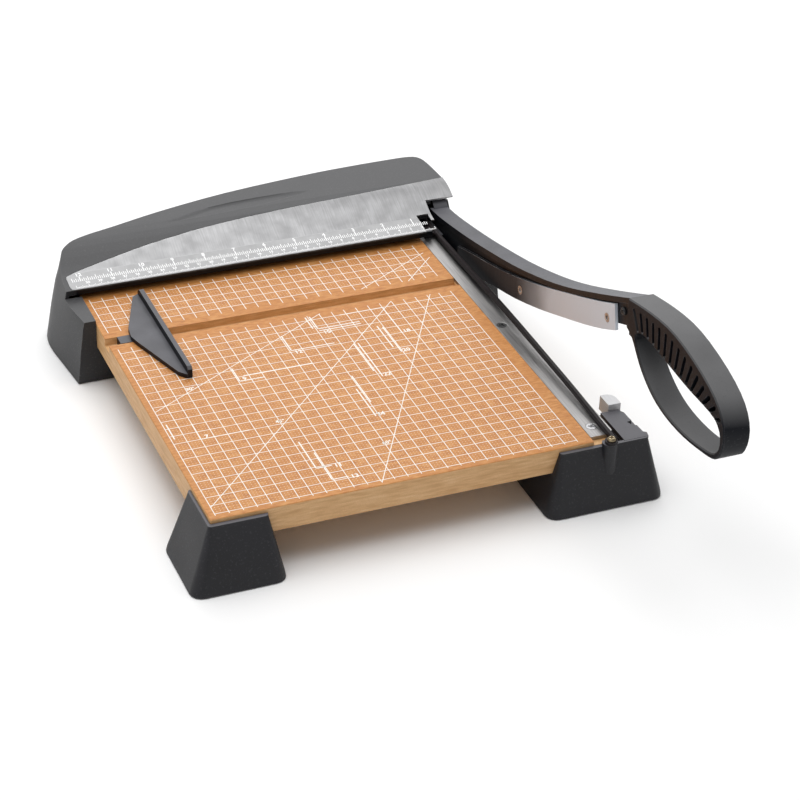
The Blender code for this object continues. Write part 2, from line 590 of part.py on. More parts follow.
def build_housing():
    housing = place("rear_housing", housing_loft(), (0, 0, 0), LOOKS["housing"])
    cut(housing, above_profile(0.0, CHEEK_Z, 6.0))
    hollow = cut_housing_hollow(housing)
    cut(hollow, above_profile(ROOF, CHEEK_Z - ROOF, 6.0))
    for x in (40.0, 240.0):
        join(housing, block(x - 2.0, x + 2.0, -32.0, 64.0, RIM_Z + 1, -BOARD_THICK - GAP))
    for _, x, y in HOUSING_SCREWS:
        join(housing, cylinder(6.0, (x, y, RIM_Z + 1), UP, 28.9, 20))
        cut(housing, cylinder(1.9, (x, y, -60), UP, 45, 16))
        cut(housing, cylinder(4.0, (x, y, -60), UP, 35, 16))
    for name, x, y in PADS:
        if "rear" in name:
            join(housing, cylinder(9.0, (x, y, BOSS_Z), UP, 30, 24))
    cut(housing, prism_z(board_plan(-70, GAP), -BOARD_THICK - GAP, GAP))
    cut(housing, block(BOARD_X[1], KNIFE_X[1] + GAP, -70, BOARD_Y[1] + GAP, -BOARD_THICK - GAP, GAP))
    cut(housing, block(BOARD_X[0] - GAP, KNIFE_X[1] + GAP, -70, 12.3, 0.0, 8.6 - ROOF))
    cut(housing, block(BOARD_X[0] - 4.3, NOTCH[0] + GAP, -70, 12.3, CHEEK_Z, 8.9))
    cut(housing, block(KNIFE_X[1] - 0.1, 317.3, -70, 84.5, -44.0, 15.0))
    cut(housing, block(NOTCH[0], 340, -70, NOTCH[2] + GAP, 2.0, 40))
    cut(housing, block(OPENING_X + GAP, 340, -70, OPENING_Y, 2.0, 40))
    cut(housing, block(317.0, 345, -70, 56.0, -10.0, 20.5))
    cut(housing, block(320.4, 345, -70, 64.0, 8.0, 60))
    cut(housing, block(KNIFE_X[1] + GAP, 317.3, 30.0, 46.0, 2.0, 40))
    return housing


def cut_housing_hollow(housing):
    return combine(housing, housing_loft(HOUSING_WALL, RIM_Z - 6), "DIFFERENCE")


def recess_for_plate(housing):
    sheet, trim = plate_body(plate_outline(GAP), PLATE_THICK + GAP, -20.0)
    helper = combine(housing, sheet, "DIFFERENCE")
    limit = place("plate_trim.recess", trim, (0, 0, 0))
    step = helper.modifiers.new("trim", "BOOLEAN")
    step.operation = "INTERSECT"
    step.solver = "EXACT"
    step.object = limit


def build_plate():
    sheet, trim = plate_body(plate_outline(0.0), PLATE_THICK, 0.0)
    plate = place("ruler_plate", sheet, (0, 0, 0), LOOKS["aluminium"])
    combine(plate, trim, "INTERSECT")
    cut(plate, block(NOTCH[0], NOTCH[1], -10, NOTCH[2], -5, 60))
    cut(plate, block(OPENING_X, 340, -10, OPENING_Y, -5, 60))
    cut(plate, block(NOTCH[1] - 1, OPENING_X + 1, -10, 20.0, -5, 60))


def build_fence():
    bar = block(BOARD_X[0] - 4.0, FENCE_END, 8.4, 12.0, CHEEK_Z + GAP, 8.5)
    place("fence_bar", bar, (0, 10, 0), LOOKS["black"])


def foot_rings(shape, wall, levels):
    top, base = shape
    rings = []
    for z, amount in levels:
        sides = [b + (t - b) * amount for t, b in zip(top, base)]
        outline = rounded_rect(sides[0] + wall, sides[1] - wall, sides[2] + wall, sides[3] - wall,
                               max(sides[4] - wall, 1.0))
        rings.append([(x, y, z) for x, y in outline])
    return rings


def hollow_levels():
    low = [(z, amount) for z, amount in FOOT_FLARE if z < SHELF_Z]
    return [(RIM_Z - 5, low[0][1])] + low[1:] + [(SHELF_Z, 0.54)]


def foot(name, shape, board_side, *additions):
    made = place(name, loft(foot_rings(shape, 0.0, FOOT_FLARE)), (board_side[0], -290, 0), LOOKS["foot"])
    cut(made, loft(foot_rings(shape, FOOT_WALL, hollow_levels())))
    join(made, *additions)
    cut(made, block(board_side[0], board_side[1], BOARD_Y[0] - GAP, -200, -BOARD_THICK - GAP, 20))
    return made


def finish_foot(made, side):
    for name, x, y in FOOT_SCREWS:
        if name.startswith(side):
            cut(made, cylinder(1.9, (x, y, -60), UP, 60, 16))
            seat = (x, y, SHELF_Z - GAP)
            screw = place(name, pan(seat, UP, 3.4, 2.2, 1.6, 15.0), seat, LOOKS["screw"])
            cross_recess(screw, seat, UP, 2.0, -2.2)
    for name, x, y in PADS:
        if name == "pad_front_" + side:
            join(made, cylinder(8.5, (x, y, BOSS_Z), UP, SHELF_Z - BOSS_Z + 1.5, 24))


def build_feet():
    left = foot("front_left_foot", LEFT_FOOT, (BOARD_X[0] - GAP, 80.0))
    finish_foot(left, "left")
    boss = cylinder(5.8, (GUARD_SCREW[0], -310.0, SHELF_Z), UP, 24.0, 24)
    right = foot("front_right_foot", RIGHT_FOOT, (200.0, KNIFE_X[1] + GAP), boss)
    cut(right, cylinder(1.9, (*GUARD_SCREW, 10), DOWN, 24, 16))
    cut(right, block(299.0, 304.6, -306.8, -200, -16.0, 20))
    cut(right, block(304.2, 340, -308.0, -250, -6.6, 20))
    cut(right, block(LATCH_X[0] - 0.5, LATCH_X[1] + 0.7, LATCH_Y[0] - GAP, -240, -22.0, 20))
    cut(right, cylinder(1.3, (306.0, *LATCH_PIN), RIGHT, 18.6, 16))
    finish_foot(right, "right")


def build_foot_block():
    outline = [(304.6, -307.7), (323.8, -307.7), (324.8, -302.8), (322.6, -301.1), (322.2, -292.2),
               (319.2, -290.8), (317.6, -286.3), (321.6, -285.1), (319.7, -270.0), (318.8, -268.9),
               (304.6, -268.9)]
    place("foot_block", prism_z(outline, -6.3, FOOT_TOP), (312, -288, -5), LOOKS["foot"])


def build_latch():
    """Folded tab: a front leg, a top plate with a round corner and a skirt on the board's side."""
    x0, x1 = LATCH_X
    y0, y1 = LATCH_Y
    y, z = LATCH_PIN
    under = LATCH_TOP - LATCH_THICK
    side = [(y0, z), (y0 + LATCH_THICK, z), (y0 + LATCH_THICK, under), (y1, under), (y1, LATCH_TOP)]
    side.append((y0, LATCH_TOP))
    latch = place("latch", prism_x(side, x0, x1), (x0, y, z), LOOKS["steel_bright"])
    join(latch, block(x0, x0 + LATCH_THICK, y0 + 0.5, y1, LATCH_SKIRT, LATCH_TOP - 0.5))
    radius = 6.5
    angles = [math.pi * i / 16 for i in range(9)]
    arc = [(x1 - radius + radius * math.cos(a), y1 - radius + radius * math.sin(a)) for a in angles]
    plan = [(x0 - 1, y0 - 10), (x1, y0 - 10)] + arc + [(x0 - 1, y1)]
    combine(latch, prism_z(plan, -40, 20), "INTERSECT")
    join(latch, cylinder(2.1, (x0, y, z), RIGHT, x1 - x0, 20))
    cut(latch, cylinder(1.35, (300, y, z), RIGHT, 40, 16))
    place("latch_pin", cylinder(1.0, (306.4, y, z), RIGHT, 17.8, 16), (x0, y, z), LOOKS["screw"])


def build_guide():
    x0, x1, y1, y0 = GUIDE_FENCE
    rest = (x1, (GROOVE_Y[0] + GROOVE_Y[1]) / 2, 0)
    guide = place("paper_guide", prism_z(GUIDE_OUTLINE, 0.4, 3.8), rest, LOOKS["black"])
    fence = [(y0, 0.4), (y0, 7.4), (y0 + 2.4, 9.4), (y1 - 4.0, 9.4), (y1, 6.0), (y1, 0.4)]
    join(guide, prism_x(fence, x0, x1))
    tongue = (4.4, 34.0, GROOVE_Y[0] + GAP, GROOVE_Y[1] - GAP)
    join(guide, block(*tongue, -GROOVE_DEPTH + GAP, 0.2), block(16.0, 33.0, tongue[2], tongue[3], -1.0, 1.0))


def build_pads():
    for name, x, y in PADS:
        height = BOSS_Z - GAP - FLOOR_Z
        profile = [(0, 0), (6.6, 0), (7.2, 0.5), (7.2, height), (0, height)]
        place(name, turned(profile, (x, y, FLOOR_Z), UP), (x, y, FLOOR_Z), LOOKS["rubber"])


def build_housing_screws():
    for name, x, y in HOUSING_SCREWS:
        seat = (x, y, -25.0 - GAP)
        screw = place(name, pan(seat, UP, 3.4, 2.2, 1.6, 16.0), seat, LOOKS["screw"])
        cross_recess(screw, seat, UP, 2.0, -2.2)


clear_scene()
PARTS = new_collection(COLLECTION)
HELPERS = new_collection(COLLECTION + "_cutters", helper=True)
LOOKS = {
    "wood": material("wood", (0.62, 0.36, 0.16), 0.55),
    "steel": material("steel", (0.56, 0.57, 0.58), 0.32, 1.0),
    "steel_bright": material("steel_bright", (0.80, 0.80, 0.80), 0.25, 1.0),
    "screw": material("screw", (0.62, 0.62, 0.62), 0.30, 1.0),
    "screw_dark": material("screw_dark", (0.06, 0.06, 0.06), 0.40, 1.0),
    "brass": material("brass", (0.72, 0.58, 0.36), 0.30, 1.0),
    "guard": material("guard", (0.035, 0.028, 0.028), 0.35),
    "black": material("black", (0.022, 0.022, 0.026), 0.45),
    "handle": material("handle", (0.030, 0.030, 0.032), 0.50),
    "housing": material("housing", (0.070, 0.070, 0.074), 0.50),
    "foot": material("foot", (0.028, 0.028, 0.032), 0.50),
    "aluminium": material("aluminium", (0.66, 0.67, 0.68), 0.38, 1.0),
    "rubber": material("rubber", (0.015, 0.015, 0.015), 0.85),
}
build_board()
build_bed_knife()
build_guard()
build_arm()
build_blade()
build_handle()
build_pivot()
recess_for_plate(build_housing())
build_plate()
build_fence()
build_feet()
build_foot_block()
build_latch()
build_guide()
build_pads()
build_housing_screws()
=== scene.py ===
"""Guillotine paper trimmer: surfaces, printed scales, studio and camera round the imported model."""
import json
import math

import bmesh
import bpy
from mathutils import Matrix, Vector


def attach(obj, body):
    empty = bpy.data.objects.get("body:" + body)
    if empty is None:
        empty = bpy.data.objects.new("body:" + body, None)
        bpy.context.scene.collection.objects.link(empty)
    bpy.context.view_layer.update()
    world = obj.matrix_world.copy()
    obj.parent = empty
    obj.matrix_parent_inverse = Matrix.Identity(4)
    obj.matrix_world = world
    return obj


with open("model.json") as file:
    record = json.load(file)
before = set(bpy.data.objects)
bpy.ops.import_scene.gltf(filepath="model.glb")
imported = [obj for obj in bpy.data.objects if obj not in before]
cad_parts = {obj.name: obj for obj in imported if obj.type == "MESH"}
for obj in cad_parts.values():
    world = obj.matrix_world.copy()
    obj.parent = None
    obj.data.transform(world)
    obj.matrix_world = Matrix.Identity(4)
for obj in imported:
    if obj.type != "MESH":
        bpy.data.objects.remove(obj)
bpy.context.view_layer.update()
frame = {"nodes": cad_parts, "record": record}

# Lengths are millimetres in the board's frame; ORIGIN moves it to the row frame
MM = 0.001
ORIGIN = Vector((-153.62, 163.175, 50.0))
NODES = frame["nodes"]

# Print on the board
GRID_STEP = 10.0
GRID_RIGHT = 270.0
GRID_LINE = 0.6
MARK_LINE = 1.0
PRINT_TOP = 0.05
PRINT_SINK = 0.2
CROSS_RISE = 0.001
MARK_RISE = 0.002
ANGLE_RISE = 0.004
ROW_OVERRUN = 0.2
REAR_STRIP = (-48.0, 5.0)
MAIN_FIELD = (-302.0, -73.5)
REAR_ROWS = range(0, 5)
MAIN_ROWS = range(8, 31)
DOTS_PER_SQUARE = 4
DOT_BANDS = ((-40.0, 0.0), (-300.0, -79.5))
DOT_CORE = 0.26
DOT_EDGE = 0.40
DOT_STRENGTH = 0.75
ANGLE_LINES = [((0, -292), (220, -73)), ((0, -166), (161, -73)), ((120, -303), (253, -73)),
               ((205, -48), (274, -9)), ((245, -48), (276, -17.5))]
ANGLE_LABEL_SIZE = 5.0
ANGLE_LABELS = [("30", 33.5, -144.0), ("45", 80.5, -206.5), ("60", 142.0, -257.5)]
PAPER_MARKS = [
    [(2.6, -184), (2.6, -204)], [(20, -189), (20, -210), (56, -210)],
    [(71, -127), (71, -146), (90, -146)], [(76, -139.5), (130, -139.5)],
    [(121.5, -95), (121.5, -117.5), (156, -117.5)], [(148, -75), (148, -92.5)],
    [(151.5, -75), (151.5, -94), (185.5, -94)], [(151.5, -97), (185.5, -97)],
    [(174, -80), (210, -80), (210, -120.5)], [(195.5, -105), (195.5, -138)],
    [(199, -107.5), (199, -146)], [(172.5, -124), (172.5, -174)], [(169, -124), (169, -165)],
    [(147.5, -184), (147.5, -223)], [(151, -166), (151, -204)],
    [(83.5, -236), (83.5, -271.5), (95, -271.5)], [(89, -252.5), (89, -288), (101, -288)]]
PAPER_LABEL_SIZE = 6.0
PAPER_LABEL_SHIFT = (2.5, 0.5)
PAPER_LABELS = [("7", 22.5, -208.5), ("9", 73.0, -144.0), ("12", 123.5, -121.5), ("15", 154.0, -101.0),
                ("18", 212.0, -119.0), ("20", 201.0, -145.0), ("22", 174.5, -172.5), ("24", 149.5, -221.5),
                ("11", 97.0, -273.0), ("13", 103.0, -289.5)]

# Ruler on the sloping front band of the plate: y and z of its two edges
BAND = ((6.0, 10.0), (26.0, 13.0))
INCH = 25.4
RULER_ZERO = 302.0
INCHES = 12
SIXTEENTHS = 16
INCH_FOOT = 15.6
INCH_TOPS = {16: 21.6, 8: 21.2, 4: 20.4, 2: 19.6, 1: 18.8}
INCH_TICKS = range(9, INCHES * SIXTEENTHS + 8)
INCH_TICK = 0.6
WHOLE_INCH_TICK = 0.9
INCH_NUMERAL = 5.2
INCH_NUMERAL_Y = 23.7
PLATE_LEFT = -10.5
CENTIMETRES = 30
MM_FOOT = 7.6
MM_TOPS = {10: 11.4, 5: 10.4, 1: 9.4}
MM_TICKS = range(10, CENTIMETRES * 10 + 11)
MM_TICK = 0.4
CM_NUMERAL = 3.6
CM_NUMERAL_Y = 13.2

# Raised figures: thickness either way, depth below the surface, and added weight per unit of size
FIGURE_DEPTH = 0.12
FIGURE_SINK = 0.07
FIGURE_WEIGHT = 0.03

# Finger hollow in the deck: its rim in plan, and the z and share of the rim at each level of the cutter
HOLLOW_FRONT = [(76, 59.6), (92, 59.6), (109, 60.0), (130, 61.2), (152, 63.0), (170, 65.6), (188, 69.0),
                (206, 73.6)]
HOLLOW_REAR = [(206, 75.2), (196, 77.0), (183, 77.6), (160, 77.2), (139, 76.0), (118, 73.0), (98, 67.0),
               (84, 62.2)]
HOLLOW_CENTRE = (145.0, 69.0)
HOLLOW_LEVELS = ((28.0, 1.05), (26.5, 1.0), (25.4, 0.86), (25.1, 0.60))

# Studio, in metres; the camera was solved from the printed grid
FLOOR_REACH = 9.0
WORLD_STRENGTH = 0.30
CAMERA_PLACE = (-0.55481, -1.366965, 0.95714)
CAMERA_TURN = (57.7794, -1.8188, -22.3011)
CAMERA_LENS = 105.58
CAMERA_SENSOR = 36.0


def point(x, y, z):
    return (Vector((x, y, z)) + ORIGIN) * MM


class Look:
    """One procedural material, wired step by step."""

    def __init__(self, name, metallic=0.0, specular=0.5, anisotropic=0.0):
        self.material = bpy.data.materials.new(name)
        self.material.use_nodes = True
        self.tree = self.material.node_tree
        self.shader = self.tree.nodes["Principled BSDF"]
        self.shader.inputs["Metallic"].default_value = metallic
        self.shader.inputs["Specular IOR Level"].default_value = specular
        self.shader.inputs["Anisotropic"].default_value = anisotropic
        self.place = self.node("ShaderNodeTexCoord").outputs["Object"]
        self.relief = None

    def node(self, kind, inputs=None, **settings):
        made = self.tree.nodes.new(kind)
        for name, value in settings.items():
            setattr(made, name, value)
        for name, value in (inputs or {}).items():
            self.feed(made.inputs[name], value)
        return made

    def feed(self, socket, value):
        if isinstance(value, bpy.types.NodeSocket):
            self.tree.links.new(value, socket)
        else:
            socket.default_value = value

    def noise(self, scale, detail=4.0, stretch=(1, 1, 1), distortion=0.0):
        """Noise with `scale` waves per metre, pulled out along the axes where `stretch` is small."""
        vector = self.node("ShaderNodeMapping", {"Vector": self.place, "Scale": stretch}).outputs["Vector"]
        inputs = {"Vector": vector, "Scale": scale, "Detail": detail, "Distortion": distortion}
        return self.node("ShaderNodeTexNoise", inputs).outputs["Fac"]

    def axis(self, letter):
        return self.node("ShaderNodeSeparateXYZ", {"Vector": self.place}).outputs[letter]

    def span(self, value, low, high, to_low=0.0, to_high=1.0):
        inputs = {"Value": value, "From Min": low, "From Max": high, "To Min": to_low, "To Max": to_high}
        return self.node("ShaderNodeMapRange", inputs, clamp=True).outputs["Result"]

    def math(self, operation, first, second):
        made = self.node("ShaderNodeMath", operation=operation)
        self.feed(made.inputs[0], first)
        self.feed(made.inputs[1], second)
        return made.outputs[0]

    def ramp(self, fac, stops):
        made = self.node("ShaderNodeValToRGB", {"Fac": fac})
        elements = made.color_ramp.elements
        while len(elements) < len(stops):
            elements.new(0.5)
        for element, (position, colour) in zip(elements, stops):
            element.position = position
            element.color = (*colour, 1.0)
        return made.outputs["Color"]

    def mix(self, fac, first, second, blend="MIX"):
        made = self.node("ShaderNodeMix", data_type="RGBA", blend_type=blend)
        for name, value in (("Factor", fac), ("A", first), ("B", second)):
            sockets = [s for s in made.inputs if s.name == name and s.enabled]
            self.feed(sockets[0], value)
        return [s for s in made.outputs if s.enabled][0]

    def bump(self, height, strength, distance):
        inputs = {"Height": height, "Strength": strength, "Distance": distance}
        if self.relief:
            inputs["Normal"] = self.relief
        self.relief = self.node("ShaderNodeBump", inputs).outputs["Normal"]

    def edges(self, radius, low, high):
        """Mask of the convex edges, broken up so that wear is uneven."""
        rounded = self.node("ShaderNodeBevel", {"Radius": radius}, samples=4).outputs["Normal"]
        plain = self.node("ShaderNodeNewGeometry").outputs["Normal"]
        facing = self.node("ShaderNodeVectorMath", operation="DOT_PRODUCT")
        self.feed(facing.inputs[0], rounded)
        self.feed(facing.inputs[1], plain)
        worn = self.span(facing.outputs["Value"], high, low)
        return self.math("MULTIPLY", worn, self.span(self.noise(160.0, 3.0), 0.35, 0.65))

    def upward(self, low, high):
        """From 0 on walls to 1 on faces that look up, by the normal in world space; it places the painted
        light on top faces.
        """
        normal = self.node("ShaderNodeNewGeometry").outputs["Normal"]
        height = self.node("ShaderNodeSeparateXYZ", {"Vector": normal}).outputs["Z"]
        return self.span(height, low, high)

    def done(self, colour, roughness):
        self.feed(self.shader.inputs["Base Color"], colour)
        self.feed(self.shader.inputs["Roughness"], roughness)
        if self.relief:
            self.feed(self.shader.inputs["Normal"], self.relief)
        return self.material


def dot_field(look):
    """Mask of the small printed dots that divide the squares of the grid into quarters."""
    half_step = GRID_STEP * MM / DOTS_PER_SQUARE / 2
    x = look.math("SUBTRACT", look.axis("X"), ORIGIN.x * MM)
    y = look.math("SUBTRACT", look.axis("Y"), ORIGIN.y * MM)
    nearest = [look.math("PINGPONG", local, half_step) for local in (x, y)]
    squares = [look.math("MULTIPLY", near, near) for near in nearest]
    spread = look.math("SQRT", look.math("ADD", *squares), 0.0)
    dots = look.span(spread, DOT_CORE * MM, DOT_EDGE * MM, DOT_STRENGTH, 0.0)

    def between(value, low, high):
        above = look.math("GREATER_THAN", value, low * MM)
        return look.math("MULTIPLY", above, look.math("LESS_THAN", value, high * MM))

    bands = [between(y, low, high) for low, high in DOT_BANDS]
    columns = look.math("MULTIPLY", dots, between(x, 0.0, GRID_RIGHT))
    return look.math("MULTIPLY", columns, look.math("ADD", *bands))


def wood_look():
    """Fibreboard: an orange-brown film on top, pale compressed fibre in the groove and on the sides."""
    look = Look("wood", specular=0.35)
    fibres = look.noise(420.0, 8.0, (0.35, 1.0, 1.0), 0.4)
    speckle = look.noise(1500.0, 3.0)
    film_and_lit_top = look.ramp(fibres, [(0.30, (0.42, 0.150, 0.032)), (0.5, (0.55, 0.232, 0.062)),
                              (0.72, (0.65, 0.33, 0.120))])
    film_and_lit_top = look.mix(look.span(look.noise(16.0, 2.0), 0.35, 0.7, 0.0, 0.35), film_and_lit_top, (0.48, 0.18, 0.042, 1.0))
    film_and_lit_top = look.mix(look.span(speckle, 0.56, 0.70, 0.0, 0.30), film_and_lit_top, (0.74, 0.50, 0.28, 1.0))
    film_and_lit_top = look.mix(dot_field(look), film_and_lit_top, (0.86, 0.76, 0.62, 1.0))
    bare = look.ramp(look.noise(260.0, 8.0, (0.25, 0.25, 2.2)),
                     [(0.3, (0.58, 0.325, 0.135)), (0.55, (0.72, 0.44, 0.21)), (0.75, (0.80, 0.53, 0.28))])
    bare = look.mix(look.span(speckle, 0.35, 0.75, 0.0, 0.4), bare, (0.50, 0.27, 0.11, 1.0))
    on_top = look.span(look.axis("Z"), (ORIGIN.z - 0.6) * MM, (ORIGIN.z - 0.3) * MM)
    colour = look.mix(on_top, bare, film_and_lit_top)
    colour = look.mix(look.edges(0.0012, 0.80, 0.98), colour, (0.66, 0.36, 0.15, 1.0))
    look.bump(fibres, 0.12, 0.0002)
    look.bump(speckle, 0.10, 0.0001)
    return look.done(colour, look.span(fibres, 0.2, 0.8, 0.42, 0.62))


def brushed_look(name, dark, light, stretch, rough=(0.24, 0.40), anisotropic=0.5, metallic=1.0):
    """Metal with fine parallel scratches: `stretch` is small along the brushing."""
    look = Look(name, metallic, 0.5, anisotropic)
    lines = look.noise(900.0, 6.0, stretch)
    patches = look.noise(22.0, 3.0)
    colour = look.ramp(lines, [(0.25, dark), (0.75, light)])
    colour = look.mix(look.span(patches, 0.3, 0.75, 0.0, 0.22), colour, (*dark, 1.0))
    colour = look.mix(look.edges(0.0005, 0.75, 0.97), colour, (0.86, 0.86, 0.87, 1.0))
    look.bump(lines, 0.10, 0.0001)
    return look.done(colour, look.span(look.math("ADD", lines, patches), 0.6, 1.4, *rough))


def blade_look():
    """Ground blade: painted shade that darkens it towards the pivot, bright towards the tip, with a polished
    edge.
    """
    look = Look("blade_steel", 0.15, 0.2)
    lines = look.noise(800.0, 6.0, (1.0, 1.0, 0.03))
    cloud = look.noise(30.0, 3.0)
    along = look.math("ADD", look.axis("Y"), look.span(cloud, 0.2, 0.8, -0.006, 0.006))
    # Tone along the blade: painted shade, darkest towards the pivot and bright towards the tip
    painted_shade_tone = look.ramp(look.span(along, 0.08, -0.05),
                     [(0.0, (0.022, 0.022, 0.025)), (0.34, (0.035, 0.035, 0.040)), (0.60, (0.28, 0.30, 0.33)),
                      (0.80, (0.62, 0.67, 0.74)), (1.0, (0.66, 0.71, 0.78))])
    colour = look.mix(look.span(lines, 0.25, 0.8, 0.0, 0.28), painted_shade_tone, (0.68, 0.68, 0.69, 1.0), "SOFT_LIGHT")
    colour = look.mix(look.edges(0.0006, 0.75, 0.97), colour, (0.74, 0.74, 0.75, 1.0))
    look.bump(lines, 0.08, 0.0001)
    return look.done(colour, look.span(lines, 0.2, 0.8, 0.42, 0.58))


def plastic_look(name, sides, top, wear, rough, grain=0.22, specular=0.5):
    """Moulded plastic with a fine spark-eroded grain, painted light that makes the faces looking up lighter,
    and handled edges.
    """
    look = Look(name, 0.0, specular)
    fine = look.noise(2600.0, 3.0)
    broad = look.noise(24.0, 4.0)
    colour = look.ramp(broad, [(0.3, [0.8 * c for c in sides]), (0.7, [1.2 * c for c in sides])])
    # Lighter copy of the colour for faces that look up: painted light on top faces
    lit_top_colour = look.ramp(broad, [(0.3, [0.88 * c for c in top]), (0.7, [1.12 * c for c in top])])
    colour = look.mix(look.upward(0.35, 0.9), colour, lit_top_colour)
    colour = look.mix(look.span(look.noise(700.0, 2.0), 0.58, 0.72, 0.0, 0.25), colour, (*wear, 1.0))
    colour = look.mix(look.edges(0.0009, 0.72, 0.97), colour, (*wear, 1.0))
    look.bump(fine, grain, 0.00012)
    return look.done(colour, look.span(look.math("ADD", fine, broad), 0.6, 1.4, *rough))


def paint_look(name, sides, top, wear, rough, specular=0.5):
    """Stoved paint on steel: slight orange peel, painted light that makes the faces looking up lighter, bare
    metal at the edges.
    """
    look = Look(name, 0.0, specular)
    peel = look.noise(520.0, 3.0)
    dust = look.noise(60.0, 5.0)
    colour = look.ramp(dust, [(0.32, [0.7 * c for c in sides]), (0.72, [1.3 * c for c in sides])])
    # Lighter copy of the colour for faces that look up: painted light on top faces
    film_and_lit_top = look.ramp(dust, [(0.32, [0.85 * c for c in top]), (0.72, [1.15 * c for c in top])])
    colour = look.mix(look.upward(0.35, 0.9), colour, film_and_lit_top)
    colour = look.mix(look.edges(0.0006, 0.70, 0.96), colour, (*wear, 1.0))
    look.bump(peel, 0.14, 0.0002)
    return look.done(colour, look.span(look.math("ADD", peel, dust), 0.6, 1.4, *rough))


def plate_look():
    """Brushed aluminium sheet, with painted light that makes the front band under the scales lighter."""
    look = Look("aluminium", 1.0, 0.5, 0.2)
    lines = look.noise(900.0, 6.0, (1.0, 0.05, 0.05))
    mottle = look.noise(90.0, 5.0)
    sheet = look.ramp(lines, [(0.25, (0.24, 0.24, 0.243)), (0.75, (0.36, 0.36, 0.365))])
    sheet = look.mix(look.span(mottle, 0.3, 0.7, 0.0, 0.5), sheet, (0.215, 0.215, 0.217, 1.0))
    # Lighter tone of the front band on its shallower slope: painted light
    lit_band = look.ramp(mottle, [(0.3, (0.30, 0.30, 0.303)), (0.7, (0.37, 0.37, 0.374))])
    crease = (BAND[1][0] + ORIGIN.y) * MM
    colour = look.mix(look.span(look.axis("Y"), crease, crease + 0.0006), lit_band, sheet)
    colour = look.mix(look.edges(0.0005, 0.75, 0.97), colour, (0.80, 0.80, 0.81, 1.0))
    look.bump(lines, 0.10, 0.0001)
    return look.done(colour, look.span(look.math("ADD", lines, mottle), 0.6, 1.4, 0.36, 0.52))


def print_look(name, dark, light):
    """Screen-printed ink, slightly rubbed."""
    look = Look(name, specular=0.3)
    rubbed = look.noise(500.0, 5.0)
    look.bump(look.noise(3000.0, 2.0), 0.1, 0.00005)
    return look.done(look.ramp(rubbed, [(0.28, dark), (0.5, light)]), look.span(rubbed, 0.2, 0.8, 0.5, 0.75))


# For the plastic and paint looks the second colour is for faces that look up, lighter by painted light
LOOKS = {
    "wood": wood_look(),
    "steel": brushed_look("steel", (0.30, 0.29, 0.29), (0.50, 0.49, 0.48), (1.0, 0.03, 1.0),
                          (0.34, 0.48), 0.3),
    "steel_bright": brushed_look("steel_bright", (0.56, 0.56, 0.57), (0.70, 0.70, 0.71), (1.0, 0.06, 1.0),
                                 (0.40, 0.55), 0.0, 0.25),
    "screw": brushed_look("screw", (0.36, 0.36, 0.37), (0.64, 0.64, 0.65), (1.0, 1.0, 1.0),
                          (0.26, 0.40), 0.0),
    "screw_dark": paint_look("screw_dark", (0.018, 0.018, 0.02), (0.05, 0.05, 0.05), (0.2, 0.2, 0.2),
                             (0.3, 0.45)),
    "brass": brushed_look("brass", (0.30, 0.23, 0.13), (0.56, 0.46, 0.30), (1.0, 1.0, 1.0),
                          (0.26, 0.40), 0.0),
    "guard": plastic_look("guard", (0.010, 0.008, 0.009), (0.013, 0.009, 0.010), (0.08, 0.07, 0.07),
                          (0.40, 0.54), 0.10, 0.22),
    "black": paint_look("black", (0.006, 0.007, 0.010), (0.115, 0.115, 0.126), (0.16, 0.16, 0.17),
                        (0.34, 0.50), 0.18),
    "handle": plastic_look("handle", (0.006, 0.007, 0.010), (0.125, 0.125, 0.128), (0.08, 0.08, 0.085),
                           (0.40, 0.56), 0.16, 0.16),
    "housing": plastic_look("housing", (0.018, 0.018, 0.020), (0.066, 0.066, 0.069), (0.13, 0.13, 0.13),
                            (0.42, 0.56), 0.22, 0.42),
    "foot": plastic_look("foot", (0.011, 0.011, 0.014), (0.110, 0.108, 0.120), (0.08, 0.08, 0.09),
                         (0.40, 0.56), 0.20, 0.42),
    "aluminium": plate_look(),
    "rubber": plastic_look("rubber", (0.012, 0.012, 0.012), (0.018, 0.018, 0.018), (0.05, 0.05, 0.05),
                           (0.70, 0.90), 0.40, 0.3),
}
SPECIAL = {"blade": blade_look(), "knife_screw_rear": LOOKS["screw_dark"]}
PRINT_LOOK = print_look("white_print", (0.78, 0.70, 0.60), (0.90, 0.87, 0.82))
SCALE_LOOK = print_look("scale_print", (0.86, 0.86, 0.86), (0.97, 0.97, 0.97))

# Edge radius in millimetres, and the angle in degrees above which an edge is rounded
EDGES = {"wood": (0.5, 35), "steel": (0.25, 40), "steel_bright": (0.3, 40), "screw": (0.15, 40),
         "screw_dark": (0.15, 40), "brass": (0.2, 40), "guard": (0.4, 35), "black": (0.5, 35),
         "handle": (0.7, 35), "housing": (1.2, 40), "foot": (0.9, 35), "aluminium": (0.25, 14),
         "rubber": (0.4, 35)}


def dress(name, slot):
    """Material and softened edges for a node that is shown as it was packed."""
    node = NODES[name]
    node.data.materials.clear()
    node.data.materials.append(SPECIAL.get(name, LOOKS[slot]))
    node.data.polygons.foreach_set("use_smooth", [True] * len(node.data.polygons))
    radius, angle = EDGES[slot]
    weld = node.modifiers.new("weld", "WELD")
    weld.merge_threshold = 0.000005
    if name == "rear_housing":
        deck_hollow()
    bevel = node.modifiers.new("soft_edges", "BEVEL")
    bevel.width = radius * MM
    bevel.segments = 3
    bevel.limit_method = "ANGLE"
    bevel.angle_limit = math.radians(angle)
    bevel.harden_normals = True
    node.modifiers.new("normals", "WEIGHTED_NORMAL")


